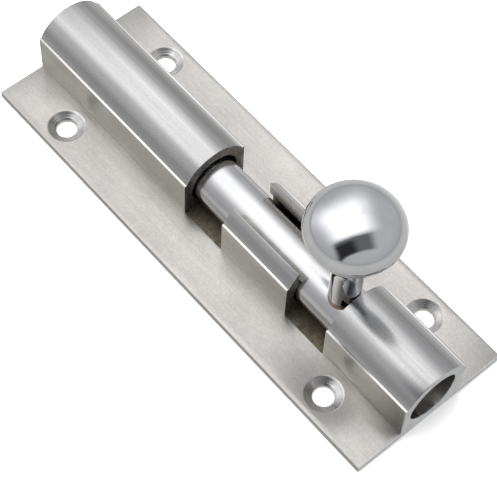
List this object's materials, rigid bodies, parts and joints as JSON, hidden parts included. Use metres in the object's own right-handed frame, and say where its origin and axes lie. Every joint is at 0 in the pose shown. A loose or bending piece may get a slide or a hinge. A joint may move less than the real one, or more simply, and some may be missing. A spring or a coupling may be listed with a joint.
{
  "type": "tower bolt",
  "caption": "Surface-mounted tower bolt: a round bolt slides and turns in a slotted barrel on a screw plate, worked by a mushroom knob that folds down to lock.",
  "frame": {"origin": "centre of the plate's flat back, which lies on the door", "axes": "+X the way the bolt is thrown, +Z out from the door, +Y across the bolt"},
  "size_m": [0.102, 0.034, 0.0384],
  "materials": {
    "housing": "satin nickel, drawn grain along X",
    "rod": "polished nickel",
    "knob": "mirror chrome",
    "stud": "zinc plated",
    "collar": "bare copper alloy"
  },
  "bodies": {
    "housing": {"housing": "housing"},
    "slider": {"rod_tail": "rod"},
    "bolt": {"bolt_rod": "rod", "knob": "knob", "knob_stud": "stud", "knob_collar": "collar"}
  },
  "joints": [
    {"name": "bolt_throw", "type": "slide", "parent": "housing", "child": "slider", "axis": [1, 0, 0], "range_m": [0, 0.032]},
    {"name": "knob_turn", "type": "hinge", "parent": "slider", "child": "bolt", "pos_m": [-0.02765, 0, 0.0061], "axis": [-1, 0, 0], "range_deg": [-82, 82]}
  ]
}
